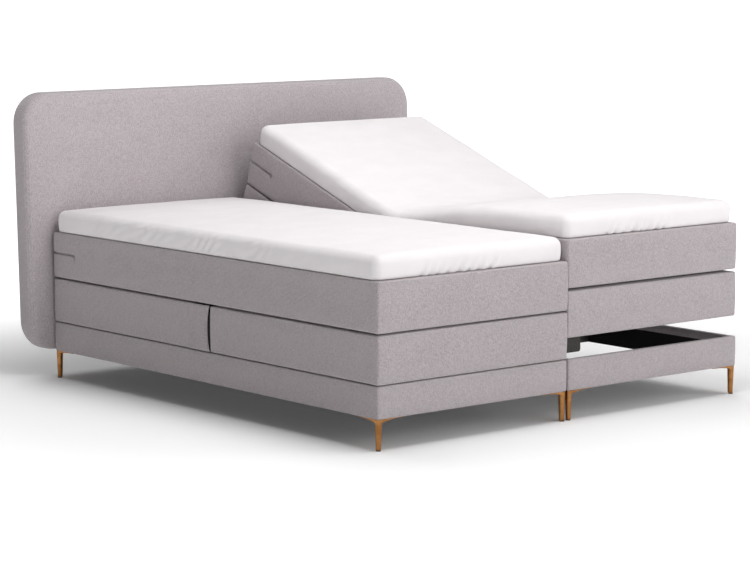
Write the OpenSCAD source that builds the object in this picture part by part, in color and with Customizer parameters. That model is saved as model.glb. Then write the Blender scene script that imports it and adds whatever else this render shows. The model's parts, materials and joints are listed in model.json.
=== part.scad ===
// Adjustable continental double bed: two single beds side by side, one headboard.
// Units are millimetres, +Z is up, the foot ends face -Y and the headboard is at +Y.
// The origin is on the floor, at the middle of the outline seen from above.
// Inside one bed, x runs from its left side, y from its foot end and z from the floor.

/* [Bed] */
// Width of one single bed
bed_w = 895; // [800:5:1000]
// Length of one single bed
bed_l = 2000; // [1950:10:2100]
// Space between the two beds
bed_gap = 7; // [4:1:20]

/* [Layers] */
// Height of the legs under the base
leg_h = 110; // [100:5:140]
// Height of the upholstered base
base_h = 115; // [110:1:130]
// Height of the spring box that sits on the base and lifts
box_h = 174; // [170:1:190]
// Height of the upper mattress
mattress_h = 182; // [150:1:200]
// Height of the topper at its edge
topper_h = 75; // [50:1:90]
// Thickness of the padded fabric round base and boxes
cover_t = 4; // [3:0.5:5]

/* [Lifting] */
// Distance of the back hinge from the foot end
back_y = 1045; // [1035:5:1060]
// Distance of the seat hinge of the leg lift from the foot end
thigh_y = 970; // [960:5:975]
// Distance of the knee hinge from the foot end
knee_y = 540; // [500:5:600]
// Highest angle of the back
back_max = 60; // [40:1:60]
// Highest slope of the thigh section
thigh_max = 30; // [20:1:30]
// Angle at which the back of the right bed is drawn
right_back = 20.3; // [0:0.1:40]
// Slope at which the thigh section of the right bed is drawn
right_thigh = 10; // [0:0.1:20]

/* [Headboard] */
// Width of the headboard
headboard_w = 2000; // [1850:10:2100]
// Height of the headboard's own panel, without the floor clearance
headboard_h = 1025; // [900:5:1200]
// Thickness of the padded headboard
headboard_t = 90; // [70:1:110]
// Radius of the headboard's four corners
headboard_r = 120; // [40:5:160]
// Angle by which the headboard leans back
headboard_lean = 2; // [0:0.5:4]

/* [Legs] */
// Radius of a leg at the floor
leg_r_low = 8.5; // [7:0.5:10]
// Radius of a leg at the base
leg_r_high = 11.5; // [10:0.5:13]
// Length of each arm of the plate on top of a leg
leg_arm = 120; // [80:5:140]

/* [Hidden] */
$fn = 64;
left = -1;
right = 1;

// Colours
fabric = [0.66, 0.62, 0.64];
sheet_white = [0.95, 0.94, 0.94];
copper = [0.68, 0.43, 0.22];
steel = [0.16, 0.16, 0.17];
timber = [0.25, 0.23, 0.22];
foam = [0.85, 0.84, 0.80];
plastic = [0.10, 0.10, 0.11];

// Levels above the floor
seam = 3;
rest_gap = 0.5;
base_top = leg_h + base_h;
box_z = base_top + seam;
box_top = box_z + box_h;
mattress_z = box_top + rest_gap;
mattress_top = mattress_z + mattress_h;
topper_z = mattress_top + rest_gap;
topper_top = topper_z + topper_h;
topper_inset = 12;

// Hinge axes: all three lie at one height, inside the spring box
axis_z = box_top - 53;
thigh_len = thigh_y - knee_y;

// Hairline between pieces that are screwed or welded together
joint_gap = 0.2;

// Base boards and the return of the fabric over them
board_t = 18;
board_in = cover_t + board_t;
cover_return = 30;

// Steel frame tubes, hinge plates and pins
rail = 25;
rail_z = box_z + 4;
rail_h = 56;
rail_x = cover_t + rest_gap;
plate_t = 6;
back_arm_x = 54;
plate_x = 62;
thigh_arm_x = 70;
link_x = 80;
link_bracket_x = 90;
link_pin_l = link_x - plate_x + plate_t + 2;
tube_r = 15;
knee_r = 10;
pin_r = 6;
bore_play = 0.05;
open_pivot_play = 1;
ear_r = 22;
knee_ear_r = 20;

// Ends of the stiff parts beside the hinges
back_start = back_y + 35;
thigh_end = thigh_y - 10;
back_stiff = back_y + 41;
thigh_stiff = thigh_y - 32;
knee_notch = 16;
knee_clear = 42;
knee_play = 0.5;
thigh_rail_gap = 40;
calf_rail_gap = 35;
core_z = rail_z + rail_h + 2;
core_top = box_top - cover_t - rest_gap;

// Level links that keep the calf section flat
link_y = thigh_y - 120;
link_z = leg_h + 70;
link_r = 15;
link_calf_y = link_y - thigh_len;

// Drive: levers on the two hinge tubes, pushed by two sliders
lever_r = 155;
lever_t = 12;
roller_r = 12;
back_lever_x = bed_w / 2 + 18;
leg_lever_x = bed_w / 2 - 30;
push_gap = 2.2;
slider_l = 60;
slider_drop = 6;
slot_w = 30;
slider_w = 28;
crossbar_h = 25;
crossbar_w = 40;
crossbar_y = [780, 1180];
drive_w = 150;
drive_y = [720, 1300];
drive_z = leg_h + 2 + crossbar_h;
drive_top = base_top - 3;
slot_floor = drive_z + 18;
motor_r = 32;
motor_l = 110;
// Travel of the sliders in millimetres for each degree
back_push = 2 * lever_r * sin(back_max / 2) / back_max;
leg_push = 2 * lever_r * sin(thigh_max / 2) / thigh_max;

// Slope of the faces at which mattress and topper part beside the hip
back_face = 42;
thigh_face = 40;

// Headboard
headboard_gap = 6;
headboard_shell = 12;
headboard_board_t = 24;
headboard_depth = headboard_t * cos(headboard_lean) + headboard_h * sin(headboard_lean);
total_l = bed_l + headboard_gap + headboard_depth;

// Angles at which each bed is drawn
function back_angle(side) = side == right ? right_back : 0;
function thigh_angle(side) = side == right ? right_thigh : 0;

// Turns a point [y, z] about a centre; positive angles lift the head side
function turned(p, centre, a) = [
    centre[0] + (p[0] - centre[0]) * cos(a) - (p[1] - centre[1]) * sin(a),
    centre[1] + (p[0] - centre[0]) * sin(a) + (p[1] - centre[1]) * cos(a)
];

// Ends of the mattress layers beside the hip, flat, at height z
function back_face_y(z) = back_y + (z - axis_z) * tan(back_face);
function thigh_face_y(z) = thigh_y - (z - axis_z) * tan(thigh_face);

module on_bed(side) {
    x = side == left ? -bed_gap / 2 - bed_w : bed_gap / 2;
    translate([x, -total_l / 2, 0]) children();
}

module about_axis(y, z, a) {
    translate([0, y, z]) rotate([a, 0, 0]) translate([0, -y, -z]) children();
}

module on_back(side) {
    on_bed(side) about_axis(back_y, axis_z, back_angle(side)) children();
}

module on_thigh(side) {
    on_bed(side) about_axis(thigh_y, axis_z, -thigh_angle(side)) children();
}

module on_calf(side) {
    a = thigh_angle(side);
    on_bed(side) translate([0, thigh_len * (1 - cos(a)), thigh_len * sin(a)]) children();
}

module on_links(side) {
    on_bed(side) about_axis(link_y, link_z, -thigh_angle(side)) children();
}

// An outline in the bed's side view, given as [y, z], made t thick along x
module side_plate(x, t) {
    translate([x, 0, 0]) rotate([90, 0, 90]) linear_extrude(t) children();
}

// The same plate at both sides of the bed
module both_sides(x, t) {
    side_plate(x, t) children();
    side_plate(bed_w - x - t, t) children();
}

// A round bar along x
module bar_x(x, l, y, z, r) {
    translate([x, y, z]) rotate([0, 90, 0]) cylinder(h = l, r = r);
}

// A box from one corner to the opposite one
module block(low, high) {
    translate(low) cube(high - low);
}

module legs() {
    color(copper)
    for (side = [left, right], end = [0, 1], edge = [0, 1])
        on_bed(side) translate([edge * bed_w, end * bed_l, 0])
            mirror([edge, 0, 0]) mirror([0, end, 0]) leg();
}

// A tapered post under a corner, with one slim arm along each edge of the base
module leg() {
    inset = leg_r_high + rest_gap;
    arm_h = 5;
    translate([inset, inset, seam])
        cylinder(h = leg_h - seam, r1 = leg_r_low, r2 = leg_r_high);
    translate([2 * inset, rest_gap, leg_h - arm_h]) cube([leg_arm - 2 * inset, leg_r_high, arm_h]);
    translate([rest_gap, 2 * inset, leg_h - arm_h]) cube([leg_r_high, leg_arm - 2 * inset, arm_h]);
}

module glides() {
    inset = leg_r_high + rest_gap;
    color(plastic)
    for (side = [left, right], x = [inset, bed_w - inset], y = [inset, bed_l - inset])
        on_bed(side) translate([x, y, 0]) cylinder(h = seam, r = leg_r_low);
}

module bed_connector() {
    strap_l = 60;
    strap_w = 30;
    strap_t = 3;
    color(steel)
    for (y = [bed_l * 0.4, bed_l * 0.8])
        translate([-strap_l / 2, y - total_l / 2, leg_h - strap_t]) cube([strap_l, strap_w, strap_t]);
}

// Rounded panel outline in the x-z plane, standing on z = 0
module panel(w, h, r) {
    translate([-w / 2 + r, 0]) square([w - 2 * r, h]);
    translate([-w / 2, r]) square([w, h - 2 * r]);
    for (x = [-w / 2 + r, w / 2 - r], z = [r, h - r])
        translate([x, z]) circle(r);
}

module on_headboard() {
    translate([0, bed_l + headboard_gap - total_l / 2, leg_h]) rotate([-headboard_lean, 0, 0]) children();
}

module panel_solid(y, t, w, h, r) {
    translate([0, y + t, 0]) rotate([90, 0, 0]) linear_extrude(t) panel(w, h, r);
}

module headboard_cover() {
    w = headboard_w - 2 * headboard_shell;
    h = headboard_h - 2 * headboard_shell;
    color(fabric)
    on_headboard() difference() {
        panel_solid(0, headboard_t, headboard_w, headboard_h, headboard_r);
        translate([0, 0, headboard_shell])
            panel_solid(headboard_t - headboard_board_t, headboard_t, w, h, headboard_r - headboard_shell);
    }
}

// Chipboard panel let into the back of the padding
module headboard_board() {
    play = 0.5;
    w = headboard_w - 2 * headboard_shell - 2 * play;
    h = headboard_h - 2 * headboard_shell - 2 * play;
    t = headboard_board_t - play;
    color(timber)
    on_headboard() translate([0, 0, headboard_shell + play])
        panel_solid(headboard_t - t, t, w, h, headboard_r - headboard_shell - play);
}

module headboard_brackets() {
    bracket_w = 200;
    bracket_h = 80;
    bracket_t = headboard_gap - 1;
    color(steel)
    for (side = [left, right])
        on_bed(side) translate([(bed_w - bracket_w) / 2, bed_l + 0.2, leg_h + 20])
            cube([bracket_w, bracket_t, bracket_h]);
}

module base_frame(side) {
    low = leg_h + 2;
    high = base_top - 3;
    color(timber)
    on_bed(side) {
        for (x = [cover_t, bed_w - board_in])
            block([x, cover_t, low], [x + board_t, bed_l - cover_t, high]);
        for (y = [cover_t, bed_l - board_in])
            block([board_in + joint_gap, y, low], [bed_w - board_in - joint_gap, y + board_t, high]);
    }
}

// Fabric skin: outside, over the top edge and a little way down inside
module base_cover(side) {
    t = board_in + 4;
    color(fabric)
    on_bed(side) difference() {
        block([0, 0, leg_h], [bed_w, bed_l, base_top]);
        block([t, t, leg_h - 1], [bed_w - t, bed_l - t, base_top + 1]);
        difference() {
            block([cover_t, cover_t, leg_h - 1], [bed_w - cover_t, bed_l - cover_t, base_top - 3]);
            block(
                [board_in, board_in, base_top - cover_return],
                [bed_w - board_in, bed_l - board_in, base_top]
            );
        }
    }
}

// Two crossbars carry two side plates that hold the hinge tubes and the links
module chassis(side) {
    bar_z = leg_h + 2;
    x0 = board_in + joint_gap;
    color(steel)
    on_bed(side) {
        for (y = crossbar_y)
            block([x0, y, bar_z], [bed_w - x0, y + crossbar_w, drive_z - joint_gap]);
        difference() {
            both_sides(plate_x, plate_t) hinge_beam_outline();
            bar_x(-1, bed_w + 2, link_y, link_z, pin_r + joint_gap);
        }
        difference() {
            both_sides(plate_x, plate_t) hinge_plate_outline();
            for (y = [back_y, thigh_y])
                bar_x(-1, bed_w + 2, y, axis_z, tube_r + bore_play);
        }
        for (x = [plate_x, bed_w - plate_x - link_pin_l])
            bar_x(x, link_pin_l, link_y, link_z, pin_r);
    }
}

module hinge_beam_outline() {
    y0 = crossbar_y[0];
    y1 = crossbar_y[1] + crossbar_w;
    side_h = 45;
    polygon([
        [y0, drive_z],
        [y1, drive_z],
        [y1, drive_z + side_h],
        [back_y + 30, drive_top],
        [y0 + 55, drive_top],
        [y0, drive_z + side_h]
    ]);
}

module hinge_plate_outline() {
    top = box_top - 26;
    bottom = drive_top + joint_gap;
    polygon([
        [thigh_y - 25, bottom],
        [back_y + 29, bottom],
        [back_y + 23, top - 10],
        [back_y + 13, top],
        [thigh_y + 15, top],
        [thigh_y - 25, top - 20]
    ]);
}

module drive_housing(side) {
    x = (bed_w - drive_w) / 2;
    inlet = [20, 26, 18];
    inlet_corner = [x, drive_y[1] - 60, drive_z + 35];
    color(plastic)
    on_bed(side) difference() {
        block([x, drive_y[0], drive_z], [x + drive_w, drive_y[1], drive_top]);
        slot(back_lever_x, back_y - 160, back_y + 105);
        slot(leg_lever_x, thigh_y - 75, thigh_y + 130);
        block(inlet_corner - [1, 0, 0], inlet_corner + inlet);
    }
}

// A channel along the drive in which one lever and its slider run
module slot(x, y0, y1) {
    block([x - slot_w / 2, y0, slot_floor], [x + slot_w / 2, y1, drive_top + 1]);
}

module drive_motors(side) {
    x = (bed_w + drive_w) / 2;
    color(plastic)
    on_bed(side)
        for (y = [drive_y[0] + 45, drive_y[1] - 45])
            bar_x(x, motor_l, y, drive_z + motor_r + 6, motor_r);
}

// A push block; it follows its lever as the bed lifts
module slider(x, y) {
    block([x - slider_w / 2, y, slot_floor + 1], [x + slider_w / 2, y + slider_l, drive_top - slider_drop]);
}

module back_slider(side) {
    tip = back_y - lever_r * sin(back_max / 2) + back_push * back_angle(side);
    color(sheet_white)
    on_bed(side) slider(back_lever_x, tip - roller_r - push_gap - slider_l);
}

module leg_slider(side) {
    tip = thigh_y + lever_r * sin(thigh_max / 2) - leg_push * thigh_angle(side);
    color(sheet_white)
    on_bed(side) slider(leg_lever_x, tip + roller_r + push_gap);
}

// The fixed strip between the back and the thigh section, with its two side panels
module seat_box(side) {
    panel_t = 12;
    strip = [
        [thigh_y + 20, box_top - 26],
        [back_y + 19, box_top - 26],
        [back_y - 31, box_top],
        [thigh_y + 20, box_top]
    ];
    color(timber)
    on_bed(side) {
        side_plate(rail_x, bed_w - 2 * rail_x) polygon(strip);
        for (x = [rail_x, bed_w - rail_x - panel_t])
            block([x, thigh_y - 4, rail_z], [x + panel_t, back_y + 29, box_top - 30]);
    }
}

// Loose fabric strips that hide the hinges at both sides
module hinge_flap(side) {
    flap_t = 3;
    color(fabric)
    on_bed(side)
        for (x = [0, bed_w - flap_t])
            intersection() {
                side_plate(x, flap_t) hinge_flap_outline(side);
                block([x, 0, box_z + 1], [x + flap_t, bed_l, box_top]);
            }
}

// The space between the ends of the thigh cover and the back cover, as they are drawn
module hinge_flap_outline(side) {
    over = 10;
    ends = [
        [thigh_end + 3, thigh_y, -thigh_angle(side)],
        [back_start - 2, back_y, back_angle(side)]
    ];
    low = box_z - over;
    high = box_top + over;
    polygon([
        flap_corner(ends[0], high),
        flap_corner(ends[0], low),
        flap_corner(ends[1], low),
        flap_corner(ends[1], high)
    ]);
}

function flap_corner(end, z) = turned([end[0], z], [end[1], axis_z], end[2]);

// A rectangular ring of timber rails with cross rails
module ladder(y0, y1, cross) {
    x0 = rail_x + rail + joint_gap;
    for (x = [rail_x, bed_w - rail_x - rail])
        block([x, y0, rail_z], [x + rail, y1, rail_z + rail_h]);
    for (y = cross)
        block([x0, y, rail_z], [bed_w - x0, y + rail, rail_z + rail_h]);
}

// An arm from the face of a cross rail at foot_y to a round eye at the hinge
module arm_outline(y, r, foot_y) {
    translate([y, axis_z]) circle(r);
    polygon([
        [foot_y, rail_z + 4],
        [foot_y, rail_z + rail_h - 4],
        [y + r * 0.7, axis_z + r * 0.7],
        [y - r * 0.7, axis_z - r * 0.7]
    ]);
}

// A pair of hinge arms with an eye of radius bore
module hinge_arms(x, y, r, foot_y, bore) {
    difference() {
        both_sides(x, plate_t) arm_outline(y, r, foot_y - joint_gap);
        bar_x(-1, bed_w + 2, y, axis_z, bore);
    }
}

// A hinge tube between the two hinge plates
module hinge_tube(x, y, r) {
    bar_x(x, bed_w - 2 * x, y, axis_z, r);
}

// A lever with a round tip, clamped on a hinge tube; a is its angle from straight down
module lever(x, y, a) {
    eye_r = tube_r + 6;
    shank_r = roller_r / 2;
    about_axis(y, axis_z, a) difference() {
        side_plate(x - lever_t / 2, lever_t) {
            translate([y, axis_z]) circle(eye_r);
            translate([y, axis_z - lever_r]) circle(roller_r);
            polygon([
                [y - eye_r, axis_z],
                [y - shank_r, axis_z - lever_r],
                [y + shank_r, axis_z - lever_r],
                [y + eye_r, axis_z]
            ]);
        }
        bar_x(-1, bed_w + 2, y, axis_z, tube_r + joint_gap);
    }
}

module back_frame(side) {
    color(steel)
    on_back(side) {
        ladder(back_stiff, bed_l - rail_x, [back_stiff, back_y + 440, bed_l - rail_x - rail]);
        hinge_arms(back_arm_x, back_y, ear_r, back_stiff, tube_r + joint_gap);
        hinge_tube(back_arm_x - 2, back_y, tube_r);
        lever(back_lever_x, back_y, -back_max / 2);
    }
}

module thigh_frame(side) {
    knee_rail = knee_y + thigh_rail_gap;
    seat_rail = thigh_stiff - rail;
    color(steel)
    on_thigh(side) {
        ladder(knee_rail, thigh_stiff, [knee_rail, seat_rail]);
        mirror_at(thigh_y)
            hinge_arms(thigh_arm_x, thigh_y, ear_r, 2 * thigh_y - thigh_stiff, tube_r + joint_gap);
        hinge_arms(plate_x, knee_y, knee_ear_r, knee_rail, knee_r + bore_play);
        hinge_tube(plate_x - 2, thigh_y, tube_r);
        lever(leg_lever_x, thigh_y, thigh_max / 2);
    }
}

module mirror_at(y) {
    translate([0, 2 * y, 0]) mirror([0, 1, 0]) children();
}

module calf_frame(side) {
    knee_rail = knee_y - calf_rail_gap - rail;
    mid_rail = link_calf_y - 100;
    pin_x = link_x - 2;
    pin_l = link_bracket_x - link_x + plate_t + 2;
    color(steel)
    on_calf(side) {
        ladder(rail_x, knee_rail + rail, [rail_x, mid_rail, knee_rail]);
        mirror_at(knee_y)
            hinge_arms(thigh_arm_x, knee_y, knee_ear_r, knee_y + calf_rail_gap, knee_r + joint_gap);
        hinge_tube(plate_x - 2, knee_y, knee_r);
        difference() {
            both_sides(link_bracket_x, plate_t) link_bracket_outline(mid_rail);
            bar_x(-1, bed_w + 2, link_calf_y, link_z, pin_r + joint_gap);
        }
        for (x = [pin_x, bed_w - pin_x - pin_l])
            bar_x(x, pin_l, link_calf_y, link_z, pin_r);
        // The guide block hangs at the side that faces the other bed
        translate([side == left ? bed_w : 0, 0, 0]) mirror([side == left ? 1 : 0, 0, 0])
            guide_block([rail_x + 23, 30, rail_z - 64], [rail_x + 90, 60, rail_z - joint_gap]);
    }
}

// A hanging block with one rounded lower corner
module guide_block(low, high) {
    r = 10;
    translate([0, high[1], 0]) rotate([90, 0, 0]) linear_extrude(high[1] - low[1]) {
        translate([low[0], low[2]]) square([high[0] - low[0] - r, high[2] - low[2]]);
        translate([low[0], low[2] + r]) square([high[0] - low[0], high[2] - low[2] - r]);
        translate([high[0] - r, low[2] + r]) circle(r);
    }
}

// A sloping plate below a cross rail, with a round end at the link's pin
module link_bracket_outline(y) {
    r = link_r;
    top = rail_z - joint_gap;
    translate([link_calf_y, link_z]) circle(r);
    polygon([
        [y, top],
        [link_calf_y - r * 0.7, link_z - r * 0.7],
        [link_calf_y + r * 0.7, link_z + r * 0.7],
        [y + rail + 25, top]
    ]);
}

module level_links(side) {
    half_h = 9;
    color(steel)
    on_links(side) difference() {
        both_sides(link_x, plate_t) {
            translate([link_y, link_z]) circle(link_r);
            translate([link_calf_y, link_z]) circle(link_r);
            translate([link_calf_y, link_z - half_h]) square([thigh_len, 2 * half_h]);
        }
        bar_x(-1, bed_w + 2, link_y, link_z, pin_r + bore_play);
        bar_x(-1, bed_w + 2, link_calf_y, link_z, pin_r + open_pivot_play);
    }
}

module back_core(side) {
    color(foam)
    on_back(side) block([rail_x, back_stiff, core_z], [bed_w - rail_x, bed_l - rail_x, core_top]);
}

module thigh_core(side) {
    y0 = knee_y + knee_play;
    notch_top = axis_z + 23;
    color(foam)
    on_thigh(side) side_plate(rail_x, bed_w - 2 * rail_x) polygon([
        [knee_y + knee_clear, core_z],
        [thigh_stiff, core_z],
        [thigh_stiff, core_top],
        [y0, core_top],
        [y0, notch_top],
        [knee_y + knee_clear, notch_top]
    ]);
}

module calf_core(side) {
    y1 = knee_y - knee_play;
    notch_top = axis_z + 23;
    color(foam)
    on_calf(side) side_plate(rail_x, bed_w - 2 * rail_x) polygon([
        [rail_x, core_z],
        [knee_y - knee_clear, core_z],
        [knee_y - knee_clear, notch_top],
        [y1, notch_top],
        [y1, core_top],
        [rail_x, core_top]
    ]);
}

module back_cover(side) {
    color(fabric)
    on_back(side) difference() {
        block([0, back_start, box_z], [bed_w, bed_l, box_top]);
        block([cover_t, back_start - 1, box_z - 1], [bed_w - cover_t, bed_l - cover_t, box_top - cover_t]);
    }
}

// Side outline of the thigh section, cut back below the knee so that it can fold
module thigh_outline() {
    y0 = knee_y + knee_play;
    polygon([
        [y0, axis_z],
        [y0 + (axis_z - box_z) * tan(knee_notch), box_z],
        [thigh_end, box_z],
        [thigh_end, box_top],
        [y0, box_top]
    ]);
}

module calf_outline() {
    y1 = knee_y - knee_play;
    polygon([
        [0, box_z],
        [y1 - (axis_z - box_z) * tan(knee_notch), box_z],
        [y1, axis_z],
        [y1, box_top],
        [0, box_top]
    ]);
}

module thigh_cover(side) {
    color(fabric)
    on_thigh(side) difference() {
        side_plate(0, bed_w) thigh_outline();
        block([cover_t, knee_y - 1, box_z - 1], [bed_w - cover_t, thigh_end + 1, box_top - cover_t]);
    }
}

module calf_cover(side) {
    color(fabric)
    on_calf(side) difference() {
        side_plate(0, bed_w) calf_outline();
        block([cover_t, cover_t, box_z - 1], [bed_w - cover_t, knee_y + 1, box_top - cover_t]);
    }
}

// One layer of the back part, between two heights, with its sloping face at the hip
module back_layer(side, inset, z0, z1) {
    on_back(side) side_plate(inset, bed_w - 2 * inset) polygon([
        [back_face_y(z0), z0],
        [bed_l - inset, z0],
        [bed_l - inset, z1],
        [back_face_y(z1), z1]
    ]);
}

module thigh_layer(side, inset, z0, z1) {
    y0 = knee_y + knee_play;
    on_thigh(side) side_plate(inset, bed_w - 2 * inset)
        polygon([[y0, z0], [thigh_face_y(z0), z0], [thigh_face_y(z1), z1], [y0, z1]]);
}

module calf_layer(side, inset, z0, z1) {
    on_calf(side) block([inset, inset, z0], [bed_w - inset, knee_y - knee_play, z1]);
}

// The wedge of one layer that is squeezed at the hip when the bed lifts
module hip_layer(side, inset, z0, z1) {
    back_c = [back_y, axis_z];
    thigh_c = [thigh_y, axis_z];
    ba = back_angle(side);
    ta = thigh_angle(side);
    gap = 1;
    b0 = turned([back_face_y(z0) - gap, z0], back_c, ba);
    b1 = turned([back_face_y(z1) - gap, z1], back_c, ba);
    t0 = turned([thigh_face_y(z0) + gap, z0], thigh_c, -ta);
    t1 = turned([thigh_face_y(z1) + gap, z1], thigh_c, -ta);
    v = valley(side, z0);
    low = [v[0], max(v[1], mattress_z)];
    on_bed(side) side_plate(inset, bed_w - 2 * inset)
        polygon([t0, low, b0, b1, valley(side, z1), t1]);
}

// Where the tops of the back part and of the thigh part meet, at layer height z
function valley(side, z) =
    let (ba = back_angle(side),
         ta = thigh_angle(side),
         b = turned([back_y, z], [back_y, axis_z], ba),
         t = turned([thigh_y, z], [thigh_y, axis_z], -ta),
         turn = ba + ta,
         run = turn == 0 ? 0 : (t[1] - b[1] + (b[0] - t[0]) * tan(-ta)) / (tan(ba) - tan(-ta)))
    turn == 0 ? [(back_y + thigh_y) / 2, z] : [b[0] + run, b[1] + run * tan(ba)];

module mattress_back(side) { color(fabric) back_layer(side, 0, mattress_z, mattress_top); }
module mattress_hip(side) { color(fabric) hip_layer(side, 0, mattress_z, mattress_top); }
module mattress_thigh(side) { color(fabric) thigh_layer(side, 0, mattress_z, mattress_top); }
module mattress_calf(side) { color(fabric) calf_layer(side, 0, mattress_z, mattress_top); }
module topper_back(side) { color(sheet_white) back_layer(side, topper_inset, topper_z, topper_top); }
module topper_hip(side) { color(sheet_white) hip_layer(side, topper_inset, topper_z, topper_top); }
module topper_thigh(side) { color(sheet_white) thigh_layer(side, topper_inset, topper_z, topper_top); }
module topper_calf(side) { color(sheet_white) calf_layer(side, topper_inset, topper_z, topper_top); }

legs();
glides();
bed_connector();
headboard_board();
headboard_cover();
headboard_brackets();

base_frame(left);  // base_frame_left
base_cover(left);  // base_cover_left
chassis(left);  // chassis_left
drive_housing(left);  // drive_housing_left
drive_motors(left);  // drive_motors_left
back_slider(left);  // back_slider_left
leg_slider(left);  // leg_slider_left
seat_box(left);  // seat_box_left
hinge_flap(left);  // hinge_flap_left
back_frame(left);  // back_frame_left
back_core(left);  // back_core_left
back_cover(left);  // back_cover_left
thigh_frame(left);  // thigh_frame_left
thigh_core(left);  // thigh_core_left
thigh_cover(left);  // thigh_cover_left
calf_frame(left);  // calf_frame_left
calf_core(left);  // calf_core_left
calf_cover(left);  // calf_cover_left
level_links(left);  // level_links_left
mattress_back(left);  // mattress_back_left
mattress_hip(left);  // mattress_hip_left
mattress_thigh(left);  // mattress_thigh_left
mattress_calf(left);  // mattress_calf_left
topper_back(left);  // topper_back_left
topper_hip(left);  // topper_hip_left
topper_thigh(left);  // topper_thigh_left
topper_calf(left);  // topper_calf_left

base_frame(right);  // base_frame_right
base_cover(right);  // base_cover_right
chassis(right);  // chassis_right
drive_housing(right);  // drive_housing_right
drive_motors(right);  // drive_motors_right
back_slider(right);  // back_slider_right
leg_slider(right);  // leg_slider_right
seat_box(right);  // seat_box_right
hinge_flap(right);  // hinge_flap_right
back_frame(right);  // back_frame_right
back_core(right);  // back_core_right
back_cover(right);  // back_cover_right
thigh_frame(right);  // thigh_frame_right
thigh_core(right);  // thigh_core_right
thigh_cover(right);  // thigh_cover_right
calf_frame(right);  // calf_frame_right
calf_core(right);  // calf_core_right
calf_cover(right);  // calf_cover_right
level_links(right);  // level_links_right
mattress_back(right);  // mattress_back_right
mattress_hip(right);  // mattress_hip_right
mattress_thigh(right);  // mattress_thigh_right
mattress_calf(right);  // mattress_calf_right
topper_back(right);  // topper_back_right
topper_hip(right);  // topper_hip_right
topper_thigh(right);  // topper_thigh_right
topper_calf(right);  // topper_calf_right
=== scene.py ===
"""Looks of an adjustable continental double bed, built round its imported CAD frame.

Metres, +Z up, foot ends towards -Y. "Flat" points are those of a bed that isn't lifted;
laid() bends them into the pose in which each bed is drawn.
"""

import json
import math

import bmesh
import bpy
import numpy as np
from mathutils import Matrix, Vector


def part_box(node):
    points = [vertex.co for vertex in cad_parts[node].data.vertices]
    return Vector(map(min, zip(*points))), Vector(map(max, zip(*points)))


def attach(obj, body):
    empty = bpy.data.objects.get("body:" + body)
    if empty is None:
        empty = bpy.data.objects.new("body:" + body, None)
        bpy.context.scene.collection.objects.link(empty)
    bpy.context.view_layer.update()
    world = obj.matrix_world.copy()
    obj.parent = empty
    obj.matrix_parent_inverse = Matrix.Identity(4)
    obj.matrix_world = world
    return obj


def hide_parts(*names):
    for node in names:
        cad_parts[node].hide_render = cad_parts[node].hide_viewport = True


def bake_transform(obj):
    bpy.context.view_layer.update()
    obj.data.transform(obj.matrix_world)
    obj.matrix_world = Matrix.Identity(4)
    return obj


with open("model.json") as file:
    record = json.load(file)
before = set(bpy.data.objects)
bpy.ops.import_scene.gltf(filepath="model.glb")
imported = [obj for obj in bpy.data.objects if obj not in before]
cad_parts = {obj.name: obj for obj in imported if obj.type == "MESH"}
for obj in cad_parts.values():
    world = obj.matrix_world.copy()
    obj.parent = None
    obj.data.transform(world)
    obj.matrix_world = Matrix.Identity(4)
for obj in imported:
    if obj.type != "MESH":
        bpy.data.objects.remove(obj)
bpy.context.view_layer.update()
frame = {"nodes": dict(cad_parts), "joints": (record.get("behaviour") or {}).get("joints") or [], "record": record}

# ---------------------------------------------------------------- driving values

SIDES = ("left", "right")
JOINTS = {j["name"]: j for j in frame["joints"]}

BOX_ROUND = 0.007
MATTRESS_ROUND = 0.007
TOPPER_ROUND = 0.030
HEM_ROUND = 0.010
BASE_ROUND = 0.005
# Plan radii of the topper's corners
FOOT_CORNER = 0.030
HEAD_CORNER = 0.030
# Depth by which the rims of two layers draw back from their seam, and the height over
# which this fades
SEAM_RECESS = 0.003
SEAM_FADE = 0.02
# Rim of fabric turned under each box and base
RIM = 0.022
# The base's corner radius in plan, its wall, and the fabric turned down inside it
BASE_CORNER = 0.008
BASE_WALL = 0.0255
BASE_LINING = 0.030

# The topper is thicker than its CAD solid by this much, and its middle stands higher
TOPPER_RISE = 0.011
TOPPER_CROWN = 0.009
# Overhang of the topper at its sides, and how far it stays short at the foot end
TOPPER_OVERHANG = 0.006
TOPPER_SHORT = 0.005
# Stretch of the foot end, from its left edge, where the topper's hem puckers, and how
# far up
PUCKERS = (0.21, 0.53)
PUCKER_HEIGHT = 0.062
# Length of the folds in the topper's sides, and their slant
FOLD_LENGTH = 0.078
FOLD_SLANT = 1.7
# Lattice steps of the soft layers, in plan and upwards
TOPPER_STEPS = (0.011, 0.007)
MATTRESS_STEPS = (0.028, 0.022)
BOX_STEPS = (0.03, 0.022)
# Mattress zip: its height as a share of the mattress's, the length of its ends that run
# along the sides, and the depth of its slot
ZIP_HEIGHT = 0.55
ZIP_RUN = 0.15
ZIP_DEPTH = 0.009
# Bow of a hinge flap's loose edge towards the head, and the cloth's thickness
FLAP_BOW = 0.016
FLAP_THICK = 0.0018
# Half lengths over which the layers and the box bend at the knee
KNEE_REACH = 0.12
BOX_KNEE_REACH = 0.05
# In the drawn pose: softness of the arch at the knee and of the valley at the hip, slide
# of the top towards the head, and rise of the foot end
KNEE_ARCH = 0.030
HIP_VALLEY = 0.018
HIP_SLIDE = 0.012
FOOT_LIFT = 0.004
# Back angle in degrees at which these are in full, the height above the hinges where they
# set in, and the range of heights over which they grow
FULL_LIFT = 20
SOFT_LOW = 0.05
SOFT_RANGE = 0.26

HEADBOARD_LEAN = math.radians(2)
HEADBOARD_THICK = 0.09
HEADBOARD_CORNER = 0.12
HEADBOARD_ROUND = 0.030
HEADBOARD_CROWN = 0.004
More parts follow.
